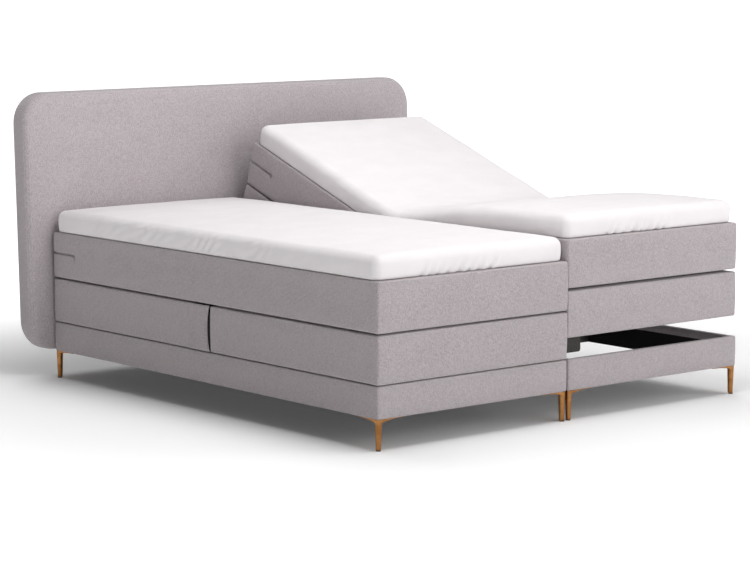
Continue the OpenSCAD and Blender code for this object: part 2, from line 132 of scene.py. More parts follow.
# Width of the fabric turned over the board behind, and its rounding there
HEADBOARD_HEM = 0.026
HEADBOARD_BACK_ROUND = 0.014
CLOTH_THICK = 0.0012

# Radii of a leg's post at its foot and under the base, and the length of its arms
POST_LOW = 0.0095
POST_HIGH = 0.0130
ARM_REACH = 0.12

# Light of the studio's ceiling and walls, and the floor's own light
WORLD_LIGHT = 0.07
WALL_LIGHT = 1.0
FLOOR_LIGHT = 0.80
# Middle of the dim part of the floor, the distances from it where the floor's own light
# starts to grow and is full, and the dim part's share of that light
DIM_FLOOR = (0.1, -0.1, 0)
DIM_START = 1.3
DIM_END = 3.5
DIM_SHARE = 0.07
# Heights of the view direction between which the walls give way to the ceiling
WALL_TOP = (0.08, 0.15)
# Round soft lights: place, diameter and power
SOFT_LIGHTS = {
    "overhead": ((0, -0.5, 5.0), 5.0, 74),
    "front_near": ((2.8, -3.5, 2.0), 2.0, 24),
    "headboard": ((-0.5, -1.2, 3.0), 1.5, 34),
}
# Far soft lights: direction they come from, angle in degrees and strength
FAR_LIGHTS = {
    "key": ((0.7, -1, 1.1), 60, 0.41),
    "low_front": ((0.05, -1, 0.35), 30, 0.68),
    "high_back": ((0.3, 0.8, 1.2), 40, 0.74),
}

CAMERA_PLACE = (-6.5135, -7.7397, 1.7343)
CAMERA_TURN = (82.508, 0, -40.009)
CAMERA_LENS = 124.88


class Bed:
    """One of the two beds: where its hinges are, and how far it is drawn lifted."""

    def __init__(self, side):
        self.side = side
        self.low, self.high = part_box("base_cover_" + side)
        back, leg, knee = (JOINTS[n + side] for n in ("back_lift_", "leg_lift_", "knee_"))
        self.back = back["pos_m"][1:]
        self.thigh = leg["pos_m"][1:]
        self.knee = knee["pos_m"][1:]
        self.back_angle = -math.radians(back["range_deg"][0])
        self.lifted = min(1, self.back_angle / math.radians(FULL_LIFT))
        self.thigh_angle = -math.radians(leg["range_deg"][0])


BEDS = [Bed(side) for side in SIDES]
FLAT = BEDS[0]
BACK_HINGE_Y = FLAT.back[0]
THIGH_HINGE_Y = FLAT.thigh[0]
# Where a layer starts and ends to turn with the back part and with the thigh part
SEAT_Y = (BACK_HINGE_Y + THIGH_HINGE_Y) / 2 - 0.0075
BACK_TURN = (SEAT_Y, SEAT_Y + 0.09)
THIGH_TURN = (SEAT_Y - 0.025, SEAT_Y - 0.07)
# Stretch of the layers that is squeezed at the hip, and the rows where they are parted
HIP_START = THIGH_HINGE_Y - 0.11
HIP_END = BACK_HINGE_Y + 0.155
HIP_SEAM = HIP_START + 0.387 * (HIP_END - HIP_START)
THIGH_SEAM = THIGH_HINGE_Y - 0.25

# ---------------------------------------------------------------- shape helpers


def smooth(t):
    """0 below 0, 1 above 1, and a smooth step between."""
    t = np.clip(t, 0, 1)
    return t * t * (3 - 2 * t)


def turn(p, pivot, angle):
    """Turns points about an axis along x through pivot (y, z); positive lifts the head side."""
    c, s = np.cos(angle), np.sin(angle)
    y, z = p[:, 1] - pivot[0], p[:, 2] - pivot[1]
    return np.stack([p[:, 0], pivot[0] + y * c - z * s, pivot[1] + y * s + z * c], 1)


def bend_knee(p, bed, reach):
    """Levels the calf end of points that lie on the sloping thigh plane."""
    q = p
    # How far a point turns depends on where it ends up, so this settles by repetition
    for _ in range(40):
        share = smooth((bed.knee[0] + reach - q[:, 1]) / (2 * reach))
        q = turn(p, bed.knee, share * bed.thigh_angle)
    return q


def laid(p, bed):
    """Flat points of mattress or topper, as they lie on the bed.

    Each height of the layer follows three planes, those of calf, thigh and back. The higher
    it is, the more softly it passes from one to the next.
    """
    height = p[:, 2] - bed.back[1]
    rise = np.clip((height - SOFT_LOW) / SOFT_RANGE, 0, 1)
    soft = bed.lifted * rise
    thigh_y = turn(p, bed.thigh, -bed.thigh_angle)[:, 1]
    back_y = turn(p, bed.back, bed.back_angle)[:, 1] + HIP_SLIDE * soft
    calf_y = p[:, 1] + bed.knee[0] - FLAT.knee[0]
    on_back = smooth((p[:, 1] - HIP_START) / (HIP_END - HIP_START))
    on_calf = smooth((FLAT.knee[0] + KNEE_REACH - p[:, 1]) / (2 * KNEE_REACH))
    y = thigh_y + on_back * (back_y - thigh_y) + on_calf * (calf_y - thigh_y)

    slope = math.tan(bed.thigh_angle)
    thigh_z = bed.thigh[1] + height / math.cos(bed.thigh_angle) - (y - bed.thigh[0]) * slope
    slope = math.tan(bed.back_angle)
    back_z = bed.back[1] + height / math.cos(bed.back_angle) + (y - bed.back[0]) * slope
    calf_z = bed.knee[1] + height + FOOT_LIFT * bed.lifted
    z = (thigh_z + calf_z - np.hypot(thigh_z - calf_z, KNEE_ARCH * soft)) / 2
    z = (z + back_z + np.hypot(z - back_z, HIP_VALLEY * soft)) / 2
    return np.stack([p[:, 0], y, z], 1)


def places(low, high, step, *exact):
    """Sorted places from low to high about step apart, and the exact ones as well."""
    exact = sorted({round(float(e), 6) for e in exact if low <= e <= high})
    count = max(1, round((high - low) / step))
    even = [low + (high - low) * k / count for k in range(count + 1)]
    kept = [e for e in even if all(abs(e - x) > step / 3 for x in exact)]
    return np.array(sorted(exact + kept))


def edge_places(low, high, r, steps=4):
    """Places at both ends that sample an edge rounded to radius r evenly."""
    arc = [r * math.tan(math.pi / 4 * k / steps) for k in range(steps + 1)]
    return [low + r - a for a in arc] + [high - r + a for a in arc]


def grid_quads(a):
    """Quads of four point numbers each between the neighbours in a grid of them."""
    return np.stack([a[:-1, :-1], a[1:, :-1], a[1:, 1:], a[:-1, 1:]], -1).reshape(-1, 4)


class Shell:
    """A closed quad surface: points, the lattice row of each, faces, and outward directions."""

    def __init__(self, points, row, faces):
        self.points, self.row, self.faces = points, row, faces
        a, b, c, d = (points[faces[:, k]] for k in range(4))
        normal = np.cross(c - a, d - b)
        self.out = np.zeros_like(points)
        for k in range(4):
            np.add.at(self.out, faces[:, k], normal)
        self.out /= np.linalg.norm(self.out, axis=1)[:, None]


def rounded_block(xs, ys, zs, low_edge, high_edge, foot_corner, head_corner):
    """The surface of a box on a lattice.

    Its long edges are rounded to low_edge below and high_edge above, its corners in plan to
    foot_corner at the foot end and head_corner at the head end.
    """
    shape = (len(xs), len(ys), len(zs))
    skin = np.zeros(shape, bool)
    skin[[0, -1]] = skin[:, [0, -1]] = skin[:, :, [0, -1]] = True
    index = np.full(shape, -1)
    index[skin] = np.arange(skin.sum())
    i, j, k = np.nonzero(skin)
    p = np.stack([xs[i], ys[j], zs[k]], 1)
    low, high = p.min(0), p.max(0)

    def quads(cells, flip):
        return grid_quads(cells)[:, ::-1] if flip else grid_quads(cells)

    faces = [quads(index[0], True), quads(index[-1], False)]
    faces += [quads(index[:, 0], False), quads(index[:, -1], True)]
    faces += [quads(index[:, :, 0], True), quads(index[:, :, -1], False)]

    r = np.where(p[:, 2:] < (low[2] + high[2]) / 2, low_edge, high_edge)
    core = np.clip(p, low + r, high - r)
    d = p - core
    across, up = abs(d[:, :2]).max(1), abs(d[:, 2])
    edge = (across > 0) & (up > 0)
    d[edge] *= (r[edge, 0] / np.hypot(across, up)[edge])[:, None]
    p = core + d

    r = np.where(p[:, 1] < (low[1] + high[1]) / 2, foot_corner, head_corner)[:, None]
    core = np.clip(p[:, :2], low[:2] + r, high[:2] - r)
    d = p[:, :2] - core
    square, circle = abs(d).max(1), np.hypot(*d.T)
    p[:, :2] = core + d * (square / np.maximum(circle, 1e-9))[:, None]
    return Shell(p, j, np.concatenate(faces))


def moved_box(foot_node, head_node, bed):
    """The unlifted bed's box over two of its nodes, moved to this bed's place."""
    shift = np.array([bed.low[0] - FLAT.low[0], 0, 0])
    low = np.array(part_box(foot_node + FLAT.side)[0]) + shift
    return low, np.array(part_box(head_node + FLAT.side)[1]) + shift


def ripple(p, length, seed):
    """Smooth random waves of about that length, from about -1 to 1."""
    rng = np.random.default_rng(seed)
    total = np.zeros(len(p))
    for _ in range(7):
        way = rng.normal(size=3)
        way /= np.linalg.norm(way)
        total += np.sin(p @ way * (2 * math.pi / length) + rng.uniform(0, 2 * math.pi))
    return total / 4


def new_object(name, data):
    obj = bpy.data.objects.new(name, data)
    bpy.context.scene.collection.objects.link(obj)
    return obj


def plain_mesh(name, points, faces):
    mesh = bpy.data.meshes.new(name)
    mesh.from_pydata(points, [], faces)
    mesh.update()
    mesh.shade_smooth()
    return mesh


def mark_cloth(mesh, places_on_cloth):
    """Stores each point's place on the unlifted bed, which the weave follows."""
    attribute = mesh.attributes.new("cloth", "FLOAT_VECTOR", "POINT")
    attribute.data.foreach_set("vector", places_on_cloth.astype(np.float32).ravel())


def make_mesh(name, points, faces, cloth=None):
    """A mesh object of the points that its faces use; cloth is for mark_cloth."""
    used, kept_faces = np.unique(faces, return_inverse=True)
    kept_faces = kept_faces.reshape(np.shape(faces))
    mesh = plain_mesh(name, points[used].tolist(), kept_faces.tolist())
    mark_cloth(mesh, (points if cloth is None else cloth)[used])
    return new_object(name, mesh)


def dress(obj, slot):
    obj.data.materials.append(MATERIALS[slot])
    return obj


# ---------------------------------------------------------------- materials


class Nodes:
    """A short way to write one material's node tree.

    Its patterns follow the cloth, or the object's own space.
    """

    def __init__(self, name, space="cloth"):
        self.material = bpy.data.materials.new(name)
        self.material.use_nodes = True
        self.tree = self.material.node_tree
        self.tree.nodes.clear()
        self.shader = self.add("ShaderNodeBsdfPrincipled")
        out = self.add("ShaderNodeOutputMaterial")
        self.tree.links.new(self.shader.outputs["BSDF"], out.inputs["Surface"])
        if space == "cloth":
            self.place = self.add("ShaderNodeAttribute", attribute_name="cloth").outputs["Vector"]
        else:
            self.place = self.add("ShaderNodeTexCoord").outputs["Object"]

    def add(self, kind, inputs=None, **settings):
        node = self.tree.nodes.new(kind)
        for key, value in settings.items():
            setattr(node, key, value)
        for key, value in (inputs or {}).items():
            if isinstance(value, bpy.types.NodeSocket):
                self.tree.links.new(value, node.inputs[key])
            else:
                node.inputs[key].default_value = value
        return node

    def set(self, **sockets):
        for key, value in sockets.items():
            socket = self.shader.inputs[key.replace("_", " ")]
            if isinstance(value, bpy.types.NodeSocket):
                self.tree.links.new(value, socket)
            else:
                socket.default_value = value

    def noise(self, scale, detail=2.0, stretch=(1, 1, 1)):
        """Noise with about scale features in a metre."""
        place = self.add("ShaderNodeMapping", {"Vector": self.place, "Scale": stretch}).outputs[0]
        inputs = {"Vector": place, "Scale": scale, "Detail": detail, "Roughness": 0.6}
        return self.add("ShaderNodeTexNoise", inputs).outputs["Fac"]

    def weave(self, thread):
        """Crossing threads of that width, from about -1 to 1, on faces of any direction."""
        scale = (math.pi / thread,) * 3
        scaled = self.add("ShaderNodeVectorMath", {0: self.place, 1: scale}, operation="MULTIPLY")
        wave = self.add("ShaderNodeVectorMath", {0: scaled.outputs[0]}, operation="SINE").outputs[0]
        part = self.add("ShaderNodeSeparateXYZ", {0: wave}).outputs
        shifted = self.add("ShaderNodeCombineXYZ", {0: part[1], 1: part[2], 2: part[0]}).outputs[0]
        crossed = self.add("ShaderNodeVectorMath", {0: wave, 1: shifted}, operation="DOT_PRODUCT")
        return crossed.outputs["Value"]

    def sum(self, *weighted):
        """The sum of pairs (socket, weight)."""
        total = 0.0
        for socket, weight in weighted:
            inputs = {0: socket, 1: weight, 2: total}
            total = self.add("ShaderNodeMath", inputs, operation="MULTIPLY_ADD").outputs[0]
        return total

    def ramp(self, value, *stops):
        """Colours at places of value, as pairs (place, colour)."""
        node = self.add("ShaderNodeValToRGB", {"Fac": value})
        elements = node.color_ramp.elements
        while len(elements) < len(stops):
            elements.new(0.5)
        for element, (at, colour) in zip(elements, stops):
            element.position = at
            element.color = (*colour, 1)
        return node.outputs["Color"]

    def bump(self, height, distance, strength=1.0):
        inputs = {"Height": height, "Distance": distance, "Strength": strength}
        self.set(Normal=self.add("ShaderNodeBump", inputs).outputs["Normal"])

    def spread(self, value, low, high):
        """A 0 to 1 value, stretched over low to high."""
        inputs = {"Value": value, "To Min": low, "To Max": high}
        return self.add("ShaderNodeMapRange", inputs).outputs[0]


def shade(colour, factor):
    """The colour, darker or lighter by that factor."""
    return tuple(min(1, c * factor) for c in colour)


def heather_fabric():
    """Upholstery weave with darker and lighter yarns mixed in."""
    n = Nodes("heather_fabric")
    tone = (0.42, 0.377, 0.390)
    weave = n.weave(0.0022)
    fleck = n.noise(300, 3)
    upright = n.noise(85, 2, (5, 5, 1))
    level = n.noise(85, 2, (1, 1, 6))
    cloud = n.noise(9, 2)
    mix = n.sum((fleck, 0.50), (upright, 0.27), (level, 0.17), (cloud, 0.04), (weave, 0.05))
    colour = n.ramp(mix, (0.34, shade(tone, 0.62)), (0.5, tone), (0.66, shade(tone, 1.36)))
    n.set(Base_Color=colour, Roughness=n.spread(fleck, 0.82, 1.0))
    n.set(Sheen_Weight=0.25, Sheen_Roughness=0.5, Specular_IOR_Level=0.25)
    n.bump(n.sum((weave, 0.35), (fleck, 1.2), (upright, 0.4), (level, 0.4)), 0.0009, 0.8)
    return n.material


def white_sheet():
    """Smooth white jersey with soft creases, and a faint painted shade in their hollows."""
    n = Nodes("white_sheet")
    tone = (0.80, 0.768, 0.778)
    crease_and_shade = n.noise(6, 3, (1, 1.6, 1))
    fuzz = n.noise(700, 2)
    knit = n.weave(0.0011)
    # The colour is a little darker where the crease bump is low: painted shade in the crease hollows.
    n.set(Base_Color=n.ramp(crease_and_shade, (0.35, shade(tone, 0.975)), (0.65, shade(tone, 1.01))))
    n.set(Roughness=n.spread(fuzz, 0.72, 0.88), Sheen_Weight=0.15, Sheen_Roughness=0.4)
    n.set(Specular_IOR_Level=0.3)
    n.bump(n.sum((crease_and_shade, 2.5), (knit, 0.05), (fuzz, 0.12)), 0.0016, 0.6)
    return n.material


def copper():
    """Lacquered copper with a faint brushed grain."""
    n = Nodes("copper", "object")
    grain = n.noise(90, 3, (6, 6, 1))
    smudge = n.noise(25, 2)
    n.set(Base_Color=n.ramp(smudge, (0.35, (0.28, 0.125, 0.040)), (0.65, (0.44, 0.215, 0.080))))
    n.set(Metallic=1.0, Roughness=n.spread(grain, 0.16, 0.34))
    n.bump(grain, 0.0002, 0.4)
    return n.material


def dark_lining(name):
    """Black non-woven cloth or black-stained board."""
    n = Nodes(name, "object")
    fibre = n.noise(420, 4)
    patch = n.noise(18, 2)
    n.set(Base_Color=n.ramp(fibre, (0.3, (0.010, 0.009, 0.009)), (0.7, (0.034, 0.031, 0.031))))
    n.set(Roughness=n.spread(patch, 0.8, 0.98), Specular_IOR_Level=0.2)
    n.bump(fibre, 0.0006, 0.6)
    return n.material


def moulded_plastic(name, tone):
    """Fine-grained moulded plastic, rubbed a little smoother in places."""
    n = Nodes(name, "object")
    grain = n.noise(900, 3)
    rub = n.noise(14, 2)
    n.set(Base_Color=n.ramp(rub, (0.3, shade(tone, 0.85)), (0.7, shade(tone, 1.1))))
    n.set(Roughness=n.spread(rub, 0.38, 0.6))
    n.bump(grain, 0.0003, 0.5)
    return n.material


def powder_coated():
    """Powder-coated steel with orange peel."""
    n = Nodes("powder_coat", "object")
    peel = n.noise(500, 1)
    dust = n.noise(20, 3)
    n.set(Base_Color=n.ramp(dust, (0.3, (0.022, 0.022, 0.024)), (0.75, (0.050, 0.049, 0.050))))
    n.set(Roughness=n.spread(dust, 0.32, 0.55), Specular_IOR_Level=0.5)
    n.bump(peel, 0.0003, 0.5)
    return n.material


def stained_timber():
    """Dark-stained slats with grain along y."""
    n = Nodes("stained_timber", "object")
    grain = n.noise(60, 4, (4, 0.4, 4))
    pore = n.noise(500, 2, (1, 0.15, 1))
    n.set(Base_Color=n.ramp(grain, (0.35, (0.012, 0.011, 0.010)), (0.65, (0.036, 0.031, 0.028))))
    n.set(Roughness=n.spread(pore, 0.55, 0.8))
    n.bump(n.sum((grain, 0.6), (pore, 0.4)), 0.0006, 0.6)
    return n.material


MATERIALS = {
    "fabric": heather_fabric(),
    "sheet": white_sheet(),
    "copper": copper(),
    "black_plastic": moulded_plastic("black_plastic", (0.022, 0.022, 0.024)),
    "pale_plastic": moulded_plastic("pale_plastic", (0.62, 0.61, 0.58)),
    "dark_steel": powder_coated(),
    "board": dark_lining("black_board"),
    "rail_wood": stained_timber(),
    "foam": dark_lining("core_lining"),
}


def finish_cad_nodes():
    """Gives every CAD node that stays in view the material of its slot."""
    for part in frame["record"]["subparts"]:
        node = frame["nodes"][part["node"]]
        node.data.materials.clear()
        node.data.materials.append(MATERIALS[part["material_slot"]])


# ---------------------------------------------------------------- mattress and topper


def layer_lattice(low, high, r, step, *rows):
    """Places in x and y of a long soft layer, closer where it bends."""
    hips = np.arange(HIP_START, HIP_END, step * 0.6)
    rows = (*edge_places(low[1], high[1], r), *hips, HIP_SEAM, *rows)
    xs = places(low[0], high[0], step, *edge_places(low[0], high[0], r))
    return xs, places(low[1], high[1], step, *rows)


def three_pieces(name, shell, bed, slot):
    """Splits a layer at the seat and below it, because each piece bends across one joint."""
    nodes = {"back": ("_back_", "_hip_"), "seat": ("_thigh_",), "leg": ("_calf_",)}
    rest = laid(shell.points, bed)
    ys = np.array([shell.points[shell.row == j, 1].mean() for j in range(shell.row.max() + 1)])
    seat = int(np.argmin(abs(ys - HIP_SEAM)))
    thigh = int(np.argmin(abs(ys - THIGH_SEAM)))
    top = len(ys) - 1
    back_body, thigh_body, calf_body = (b + bed.side for b in ("back_", "thigh_", "calf_"))
    knee_turn = (bed.knee[0] + KNEE_REACH, bed.knee[0] - KNEE_REACH)
    # Each piece's first and last row, its two bodies, and where it turns between them
    cuts = {
        "back": (seat, top, "base", back_body, BACK_TURN),
        "seat": (thigh, seat, "base", thigh_body, THIGH_TURN),
        "leg": (0, thigh, thigh_body, calf_body, knee_turn),
    }
    rows = shell.row[shell.faces]
    for part, (first, last, a, b, (start, end)) in cuts.items():
        chosen = shell.faces[(rows.min(1) >= first) & (rows.max(1) <= last)]
        piece = make_mesh(f"{name}_{part}_{bed.side}", rest, chosen, shell.points)
        dress(piece, slot)
        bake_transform(piece)
        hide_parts(*(name + n + bed.side for n in nodes[part]))


def rim_share(p, low, high, reach=0.045):
    """1 at the long and short edges of a layer, 0 further in."""
    edge = np.minimum(p[:, :2] - low[:2], high[:2] - p[:, :2]).min(1)
    return 1 - smooth(edge / reach)


def part_seam(p, low, high, above, below):
    """Draws the rims of a layer back from the seam above it, below it or both."""
    rim = SEAM_RECESS * rim_share(p, low, high)
    near_top = np.clip(1 - (high[2] - p[:, 2]) / SEAM_FADE, 0, 1)
    near_bottom = np.clip(1 - (p[:, 2] - low[2]) / SEAM_FADE, 0, 1)
    p[:, 2] += rim * (below * near_bottom - above * near_top)


def mattress(bed):
    low, high = moved_box("mattress_calf_", "mattress_back_", bed)
    r = MATTRESS_ROUND
    slit_z = low[2] + ZIP_HEIGHT * (high[2] - low[2])
    slit_y = high[1] - ZIP_RUN
    slit = [slit_z + d for d in (-0.015, -0.010, -0.005, -0.0025, 0.0025, 0.005)]
    slit_end = [slit_y + d for d in (-0.006, -0.003, 0, 0.004, 0.008)]
    xs, ys = layer_lattice(low, high, r, MATTRESS_STEPS[0], *slit_end)
    zs = places(low[2], high[2], MATTRESS_STEPS[1], *edge_places(low[2], high[2], r), *slit)
    shell = rounded_block(xs, ys, zs, r, r, r, r)
    p, out = shell.points, shell.out
    rise = (p[:, 2] - low[2]) / (high[2] - low[2])
    side = np.clip(1 - abs(out[:, 2]) * 2, 0, 1)
    belly = 0.0025 * np.sin(math.pi * np.clip(rise, 0, 1))
    # A zip in a narrow slot runs round the head end and a little way along both sides
    slot = side * (abs(p[:, 2] - slit_z) < 0.003) * (p[:, 1] > slit_y - 0.001)
    hook = side * (abs(p[:, 1] - slit_y) < 0.0045)
    hook = hook * (p[:, 2] < slit_z) * (p[:, 2] > slit_z - 0.0105)
    part_seam(p, low, high, 0, 1)
    p += out * (side * (belly + 0.0009 * ripple(p, 0.16, 3)))[:, None]
    p -= out * (ZIP_DEPTH * np.maximum(slot, hook))[:, None]
    three_pieces("mattress", shell, bed, "fabric")


def hem_gathers(p, out, low, bed):
    """Small slanting puckers in the hem of the foot end, as depths."""
    rng = np.random.default_rng(11 if bed.side == "left" else 17)
    height = np.clip((p[:, 2] - low[2]) / PUCKER_HEIGHT, 0, 1)
    fade = (1 - height) ** 1.1
    depth = np.zeros(len(p))
    x = low[0] + PUCKERS[0]
    while x < low[0] + PUCKERS[1]:
        lean = rng.uniform(0.15, 0.5)
        past = p[:, 0] - (x + lean * (p[:, 2] - low[2]))
        width = rng.uniform(0.006, 0.010)
        strength = rng.uniform(0.008, 0.013)
        depth -= strength * np.exp(-((past / width) ** 2))
        depth += 0.45 * strength * np.exp(-(((past - 2.0 * width) / (1.3 * width)) ** 2))
        x += rng.uniform(0.034, 0.058)
    return depth * fade * np.clip(-out[:, 1] * 1.5, 0, 1)


def side_folds(p, out, low, high):
    """Soft folds running up the long sides at a slant."""
    height = np.clip((p[:, 2] - low[2]) / (high[2] - low[2]), 0, 1)
    along = (p[:, 1] - low[1]) / (high[1] - low[1])
    phase = (p[:, 1] + FOLD_SLANT * (p[:, 2] - low[2])) / FOLD_LENGTH
    phase += 1.2 * ripple(p * (0, 1, 0), 0.3, 5)
    window = np.sin(math.pi * np.clip((along - 0.10) / 0.80, 0, 1)) ** 0.7
    fold = np.sin(2 * math.pi * phase) * window * smooth(height / 0.5) * (1 - height) ** 0.4
    depth = 0.0022 + 0.0026 * ripple(p * (0, 1, 0), 0.22, 6)
    return depth * fold * np.clip(abs(out[:, 0]) * 1.4, 0, 1)


def topper(bed):
    low, high = moved_box("topper_calf_", "topper_back_", bed)
    low += (-TOPPER_OVERHANG, TOPPER_SHORT, 0)
    high += (TOPPER_OVERHANG, 0.002, TOPPER_RISE)
    xs, ys = layer_lattice(low, high, TOPPER_ROUND, TOPPER_STEPS[0])
    middle = (low[2] + high[2]) / 2
    rows = [z for z in edge_places(low[2], high[2], TOPPER_ROUND) if z > middle]
    rows += [z for z in edge_places(low[2], high[2], HEM_ROUND) if z < middle]
    zs = places(low[2], high[2], TOPPER_STEPS[1], *rows)
    shell = rounded_block(xs, ys, zs, HEM_ROUND, TOPPER_ROUND, FOOT_CORNER, HEAD_CORNER)
    p, out = shell.points, shell.out
    across = (p[:, 0] - low[0]) / (high[0] - low[0])
    along = (p[:, 1] - low[1]) / (high[1] - low[1])
    rise = np.clip((p[:, 2] - low[2]) / (high[2] - low[2]), 0, 1)
    crown = (1 - abs(2 * across - 1) ** 3.5) * (1 - abs(2 * along - 1) ** 12)
    up = np.clip(out[:, 2], 0, 1) ** 2
    side = 1 - abs(out[:, 2])
    waves = 0.0011 * ripple(p, 0.35, 7) + 0.0004 * ripple(p, 0.09, 8)
    belly = side * (0.004 * np.sin(math.pi * rise) + 0.0012 * ripple(p, 0.12, 9) - 0.002)
    p[:, 2] += up * (TOPPER_CROWN * crown + waves)
    depth = belly + hem_gathers(p, out, low, bed)
    # The folds are pulled flatter on a lifted bed
    depth += (1 - 0.7 * bed.lifted) * side_folds(p, out, low, high)
    p += out * depth[:, None]
    three_pieces("topper", shell, bed, "sheet")


# ---------------------------------------------------------------- spring boxes and base


def box_shell(low, high, *rows):
    """An upholstered box, open below but for a rim of fabric that is turned under."""
    r = BOX_ROUND
    plan, upright = BOX_STEPS
    rims = [(low[k] + RIM, high[k] - RIM) for k in (0, 1)]
    xs = places(low[0], high[0], plan, *edge_places(low[0], high[0], r), *rims[0])
    ys = places(low[1], high[1], plan, *edge_places(low[1], high[1], r), *rims[1], *rows)
    zs = places(low[2], high[2], upright, *edge_places(low[2], high[2], r))
    shell = rounded_block(xs, ys, zs, r, r, r, r)
    p, out = shell.points, shell.out
    centre = p[shell.faces].mean(1)
    inside = (centre[:, :2] > low[:2] + RIM) & (centre[:, :2] < high[:2] - RIM)
    inside = inside.all(1)
    shell.faces = shell.faces[~(inside & (centre[:, 2] < low[2] + r / 2))]
    rise = np.clip((p[:, 2] - low[2]) / (high[2] - low[2]), 0, 1)
    side = np.clip(1 - abs(out[:, 2]) * 2, 0, 1)
    part_seam(p, low, high, 1, 0)
    p += out * (side * (0.002 * np.sin(math.pi * rise) + 0.0007 * ripple(p, 0.2, 4)))[:, None]
    return shell


def leg_box(bed):
    """The calf and thigh cover in one, which creases softly at the knee."""
    low, high = moved_box("calf_cover_", "thigh_cover_", bed)
    knee = FLAT.knee[0]
    shell = box_shell(low, high, *np.linspace(knee - 0.06, knee + 0.06, 13))
    sloped = turn(shell.points, bed.thigh, -bed.thigh_angle)
    rest = bend_knee(sloped, bed, BOX_KNEE_REACH)
    piece = dress(make_mesh("leg_box_" + bed.side, rest, shell.faces, shell.points), "fabric")
    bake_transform(piece)
    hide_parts("calf_cover_" + bed.side, "thigh_cover_" + bed.side)


def back_box(bed):
    shell = box_shell(*moved_box("back_cover_", "back_cover_", bed))
    rest = turn(shell.points, bed.back, bed.back_angle)
    piece = dress(make_mesh("back_box_" + bed.side, rest, shell.faces, shell.points), "fabric")
    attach(piece, "back_" + bed.side)
    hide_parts("back_cover_" + bed.side)


def hinge_flaps(bed):
    """Loose strips over the hinges; the edge towards the foot is free and bows."""
    low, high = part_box("back_cover_" + FLAT.side)
    ys = np.linspace(THIGH_HINGE_Y - 0.009, low[1] + 0.012, 22)
    zs = np.linspace(low[2] + 0.001, high[2] - 0.002, 18)
    for name, x, way in (("outer", bed.low[0], 1), ("inner", bed.high[0], -1)):
        y, z = np.meshgrid(ys, zs, indexing="ij")
        t = (z - zs[0]) / (zs[-1] - zs[0])
        loose = ((ys[-1] - y) / (ys[-1] - ys[0])) ** 2
        bow = loose * np.sin(math.pi * t) ** 0.8
        y = y + FLAP_BOW * bow
        depth = 0.0002 - 0.006 * bow + 0.008 * (loose > 0.9) * np.sin(math.pi * t)
        points = np.stack([x + way * depth, y, z], -1).reshape(-1, 3)
        cells = np.arange(len(points)).reshape(y.shape)
        faces = grid_quads(cells)
        share = smooth((points[:, 1] - BACK_HINGE_Y) / (low[1] - BACK_HINGE_Y))
        rest = turn(points, bed.back, share * bed.back_angle)
        piece = make_mesh(f"hinge_flap_{name}_{bed.side}", rest, faces[:, ::way], points)
        thick = piece.modifiers.new("thickness", "SOLIDIFY")
        thick.thickness = FLAP_THICK
        dress(piece, "fabric")
        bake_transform(piece)
        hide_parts("hinge_flap_" + bed.side)


def ring(low, high, inset, r, per_side=24, per_corner=6):
    """A rounded rectangle as points (a, b), anticlockwise, inset from low and high."""
    a0, b0 = low[0] + inset, low[1] + inset
    a1, b1 = high[0] - inset, high[1] - inset
    r = max(r - inset, 0.0004)
    a, b = (a0 + r, a1 - r), (b0 + r, b1 - r)
    corners = [(a[1], b[0], -90), (a[1], b[1], 0), (a[0], b[1], 90), (a[0], b[0], 180)]

    def on_arc(corner, degrees):
        angle = math.radians(corner[2] + degrees)
        return np.array([corner[0] + r * math.cos(angle), corner[1] + r * math.sin(angle)])

    points = []
    for corner, following in zip(corners, corners[1:] + corners[:1]):
        points += [on_arc(corner, 90 * k / per_corner) for k in range(per_corner + 1)]
        first, last = points[-1], on_arc(following, 0)
        points += [first + (last - first) * k / per_side for k in range(1, per_side)]
    return np.array(points)


def loft(rings, size, first=0):
    """Quads between that many successive rings of size points, numbered from first."""
    faces = []
    for k in range(rings - 1):
        low, high = first + k * size, first + (k + 1) * size
        for i in range(size):
            j = (i + 1) % size
            faces.append((low + i, low + j, high + j, high + i))
    return faces


def base_cover(bed):
    """Fabric round the low base: turned in below, rounded at the top and down inside."""
    r = BASE_ROUND
    z0, z1 = bed.low[2], bed.high[2]
    inner, inner_z = BASE_WALL, z1 - BASE_LINING
    arc = [math.radians(a) for a in (0, 30, 60, 90)]
    profile = [(RIM, z0 + 0.0015), (r, z0)]
    profile += [(r - r * math.sin(a), z0 + r - r * math.cos(a)) for a in arc]
    for t in (0.2, 0.4, 0.6, 0.8):
        profile.append((-0.0012 * math.sin(math.pi * t), z0 + r + (z1 - z0 - 2 * r) * t))
    profile += [(r - r * math.cos(a), z1 - r + r * math.sin(a)) for a in arc]
    profile += [(inner - 0.004, z1), (inner - 0.001, z1 - 0.001), (inner, z1 - 0.004)]
    profile += [(inner, inner_z), (inner - 0.003, inner_z - 0.0005)]
    rings = []
    for inset, z in profile:
        flat = ring(bed.low, bed.high, inset, BASE_CORNER)
        rings.append(np.column_stack([flat, np.full(len(flat), z)]))
    faces = np.array(loft(len(rings), len(rings[0])))
    piece = make_mesh("base_cover_" + bed.side + "_fabric", np.concatenate(rings), faces)
    dress(piece, "fabric")
    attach(piece, "base")
    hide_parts("base_cover_" + bed.side)


# ---------------------------------------------------------------- headboard and legs


